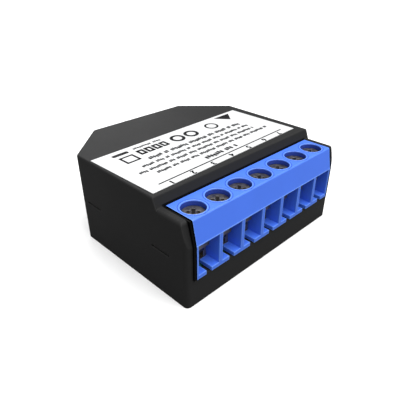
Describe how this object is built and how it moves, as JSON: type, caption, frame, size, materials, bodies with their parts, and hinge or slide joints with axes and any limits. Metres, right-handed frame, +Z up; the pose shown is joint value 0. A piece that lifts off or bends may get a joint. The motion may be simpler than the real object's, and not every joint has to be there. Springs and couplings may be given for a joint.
{
  "type": "smart relay module",
  "caption": "Compact wall-box relay module: dark cut-cornered case, stepped front with a row of blue rising-cage screw terminals, relays, supply and controller inside.",
  "frame": {"origin": "middle of the underside", "axes": "+X along the row of terminals, +Y from the wire entries towards the cut corners, +Z up from the underside to the labelled top"},
  "size_m": [0.039, 0.036, 0.017],
  "materials": {
    "case_plastic": "fine textured moulding",
    "label_film": "satin printed film",
    "block_plastic": "satin moulding",
    "screw_steel": "zinc plated",
    "cage_steel": "zinc plated",
    "tinned_metal": "tinned",
    "board_laminate": "green solder mask",
    "relay_plastic": "moulded",
    "bobbin_plastic": "moulded",
    "copper_wire": "enamelled copper",
    "soft_iron": "plated",
    "spring_bronze": "bright strip",
    "can_sleeve": "shrunk sleeve",
    "ferrite": "sintered",
    "blue_epoxy": "dipped coating",
    "chip_plastic": "moulded",
    "crystal_can": "plated",
    "socket_gold": "gold flash"
  },
  "bodies": {
    "module": {"housing_body": "case_plastic", "base_cover": "case_plastic", "rating_label": "label_film", "terminal_block_body": "block_plastic", "contact_bars": "tinned_metal", "main_pcb": "board_laminate", "bulk_capacitors": "can_sleeve", "output_capacitor": "can_sleeve", "inductor_core": "ferrite", "inductor_winding": "copper_wire", "varistor": "blue_epoxy", "fuse_resistor": "blue_epoxy", "bridge_rectifier": "chip_plastic", "controller_chip": "chip_plastic", "memory_chip": "chip_plastic", "meter_chip": "chip_plastic", "temperature_sensor": "chip_plastic", "crystal": "crystal_can", "current_shunts": "chip_plastic", "service_header": "chip_plastic", "service_contacts": "socket_gold", "reset_switch": "chip_plastic", "relay_a_case": "relay_plastic", "relay_a_base": "relay_plastic", "relay_a_bobbin": "bobbin_plastic", "relay_a_coil": "copper_wire", "relay_a_yoke": "soft_iron", "relay_a_core": "soft_iron", "relay_a_fixed_contact": "spring_bronze", "relay_a_terminals": "tinned_metal", "relay_b_case": "relay_plastic", "relay_b_base": "relay_plastic", "relay_b_bobbin": "bobbin_plastic", "relay_b_coil": "copper_wire", "relay_b_yoke": "soft_iron", "relay_b_core": "soft_iron", "relay_b_fixed_contact": "spring_bronze", "relay_b_terminals": "tinned_metal"},
    "clamp_screw_1": {"clamp_screw_1": "screw_steel"},
    "clamp_cage_1": {"clamp_cage_1": "cage_steel"},
    "clamp_screw_2": {"clamp_screw_2": "screw_steel"},
    "clamp_cage_2": {"clamp_cage_2": "cage_steel"},
    "clamp_screw_3": {"clamp_screw_3": "screw_steel"},
    "clamp_cage_3": {"clamp_cage_3": "cage_steel"},
    "clamp_screw_4": {"clamp_screw_4": "screw_steel"},
    "clamp_cage_4": {"clamp_cage_4": "cage_steel"},
    "clamp_screw_5": {"clamp_screw_5": "screw_steel"},
    "clamp_cage_5": {"clamp_cage_5": "cage_steel"},
    "clamp_screw_6": {"clamp_screw_6": "screw_steel"},
    "clamp_cage_6": {"clamp_cage_6": "cage_steel"},
    "clamp_screw_7": {"clamp_screw_7": "screw_steel"},
    "clamp_cage_7": {"clamp_cage_7": "cage_steel"},
    "relay_a_armature": {"relay_a_armature": "soft_iron", "relay_a_contact_spring": "spring_bronze"},
    "relay_b_armature": {"relay_b_armature": "soft_iron", "relay_b_contact_spring": "spring_bronze"},
    "reset_button": {"reset_button": "case_plastic"}
  },
  "joints": [
    {"name": "screw_turn_1", "type": "hinge", "parent": "module", "child": "clamp_screw_1", "pos_m": [-0.01524, -0.01465, 0.013], "axis": [0, 0, -1], "range_deg": [0, 1200]},
    {"name": "cage_lift_1", "type": "slide", "parent": "module", "child": "clamp_cage_1", "axis": [0, 0, 1], "range_m": [0, 0.0015]},
    {"name": "screw_turn_2", "type": "hinge", "parent": "module", "child": "clamp_screw_2", "pos_m": [-0.01016, -0.01465, 0.013], "axis": [0, 0, -1], "range_deg": [0, 1200]},
    {"name": "cage_lift_2", "type": "slide", "parent": "module", "child": "clamp_cage_2", "axis": [0, 0, 1], "range_m": [0, 0.0015]},
    {"name": "screw_turn_3", "type": "hinge", "parent": "module", "child": "clamp_screw_3", "pos_m": [-0.00508, -0.01465, 0.013], "axis": [0, 0, -1], "range_deg": [0, 1200]},
    {"name": "cage_lift_3", "type": "slide", "parent": "module", "child": "clamp_cage_3", "axis": [0, 0, 1], "range_m": [0, 0.0015]},
    {"name": "screw_turn_4", "type": "hinge", "parent": "module", "child": "clamp_screw_4", "pos_m": [0, -0.01465, 0.013], "axis": [0, 0, -1], "range_deg": [0, 1200]},
    {"name": "cage_lift_4", "type": "slide", "parent": "module", "child": "clamp_cage_4", "axis": [0, 0, 1], "range_m": [0, 0.0015]},
    {"name": "screw_turn_5", "type": "hinge", "parent": "module", "child": "clamp_screw_5", "pos_m": [0.00508, -0.01465, 0.013], "axis": [0, 0, -1], "range_deg": [0, 1200]},
    {"name": "cage_lift_5", "type": "slide", "parent": "module", "child": "clamp_cage_5", "axis": [0, 0, 1], "range_m": [0, 0.0015]},
    {"name": "screw_turn_6", "type": "hinge", "parent": "module", "child": "clamp_screw_6", "pos_m": [0.01016, -0.01465, 0.013], "axis": [0, 0, -1], "range_deg": [0, 1200]},
    {"name": "cage_lift_6", "type": "slide", "parent": "module", "child": "clamp_cage_6", "axis": [0, 0, 1], "range_m": [0, 0.0015]},
    {"name": "screw_turn_7", "type": "hinge", "parent": "module", "child": "clamp_screw_7", "pos_m": [0.01524, -0.01465, 0.013], "axis": [0, 0, -1], "range_deg": [0, 1200]},
    {"name": "cage_lift_7", "type": "slide", "parent": "module", "child": "clamp_cage_7", "axis": [0, 0, 1], "range_m": [0, 0.0015]},
    {"name": "relay_a_pull", "type": "hinge", "parent": "module", "child": "relay_a_armature", "pos_m": [-0.00515, 0.00735, 0.00655], "axis": [1, 0, 0], "range_deg": [0, 4], "stiffness_Nm_per_rad": 0.002, "springref_deg": -11.46},
    {"name": "relay_b_pull", "type": "hinge", "parent": "module", "child": "relay_b_armature", "pos_m": [0.00515, 0.00735, 0.00655], "axis": [1, 0, 0], "range_deg": [0, 4], "stiffness_Nm_per_rad": 0.002, "springref_deg": -11.46},
    {"name": "reset_press", "type": "slide", "parent": "module", "child": "reset_button", "axis": [0, -1, 0], "range_m": [0, 0.0003], "stiffness_N_per_m": 300, "springref_m": -0.002}
  ],
  "couplings": [
    {"joint": "screw_turn_1", "follows": "cage_lift_1", "rad_per_m": 13962},
    {"joint": "screw_turn_2", "follows": "cage_lift_2", "rad_per_m": 13962},
    {"joint": "screw_turn_3", "follows": "cage_lift_3", "rad_per_m": 13962},
    {"joint": "screw_turn_4", "follows": "cage_lift_4", "rad_per_m": 13962},
    {"joint": "screw_turn_5", "follows": "cage_lift_5", "rad_per_m": 13962},
    {"joint": "screw_turn_6", "follows": "cage_lift_6", "rad_per_m": 13962},
    {"joint": "screw_turn_7", "follows": "cage_lift_7", "rad_per_m": 13962}
  ]
}
